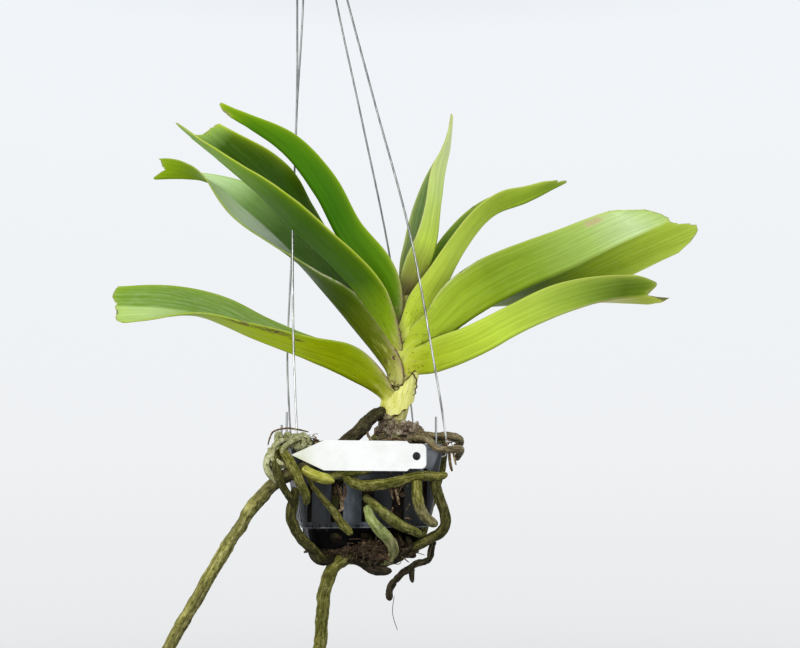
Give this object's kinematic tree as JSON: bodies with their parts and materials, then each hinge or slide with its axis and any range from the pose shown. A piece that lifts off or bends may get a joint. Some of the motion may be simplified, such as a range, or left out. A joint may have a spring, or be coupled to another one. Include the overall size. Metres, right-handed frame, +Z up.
{
  "type": "potted foxtail orchid",
  "caption": "Foxtail orchid without flowers: strap leaves in two rows on a short stem, thick aerial roots, in a hanging slotted basket on wires.",
  "frame": {"origin": "inside of the top of the hanger's hook, the point that the part hangs from", "axes": "+Z up along the hang, +X to the right of the leaf fan as pictured, +Y away from the viewer"},
  "size_m": [0.38, 0.1361, 0.6478],
  "materials": {
    "leaf_deep_green": "waxy leaf, satin",
    "leaf_pale_green": "waxy leaf, satin",
    "stem": "satin",
    "dry_sheath": "dry, matte",
    "rootstock": "rough, woody",
    "root": "spongy root skin, matte",
    "dry_root": "dry, matte",
    "root_knobs": "spongy root skin, matte",
    "basket": "moulded plastic, satin",
    "potting_mix": "coarse fibre and bark, rough",
    "bark": "rough bark",
    "tag": "smooth, satin",
    "wire": "galvanised wire"
  },
  "bodies": {
    "root": {"bark_chip_1": "bark", "bark_chip_2": "bark", "bark_chip_3": "bark", "bark_chip_4": "bark", "basket": "basket", "dry_sheath": "dry_sheath", "fibre_clump": "potting_mix", "hanger_hook": "wire", "hanger_wrap": "wire", "leaf_left_1": "leaf_deep_green", "leaf_left_2": "leaf_deep_green", "leaf_left_3": "leaf_deep_green", "leaf_left_4": "leaf_deep_green", "leaf_right_1": "leaf_pale_green", "leaf_right_2": "leaf_pale_green", "leaf_right_3": "leaf_pale_green", "leaf_right_4": "leaf_pale_green", "name_tag": "tag", "potting_mix": "potting_mix", "root_back_drop": "root", "root_back_rail": "root", "root_dry_tip": "dry_root", "root_front_left_drop": "root", "root_front_mid_curl": "root", "root_front_mid_drop": "root", "root_front_rail": "root", "root_front_upper": "root", "root_hanging": "root", "root_knobs_left": "root_knobs", "root_left_bundle": "root", "root_left_drop": "root", "root_left_olive": "root", "root_long_left": "root", "root_right_drop_inner": "root", "root_right_drop_outer": "root", "root_right_side": "root", "root_rim_right": "root", "root_top_right": "root", "root_under_dark": "root", "root_under_mid": "root", "root_yellow_stub": "root", "rootstock": "rootstock", "stem": "stem", "wire_back_left": "wire", "wire_back_right": "wire", "wire_front_left": "wire", "wire_front_right": "wire"}
  },
  "joints": []
}
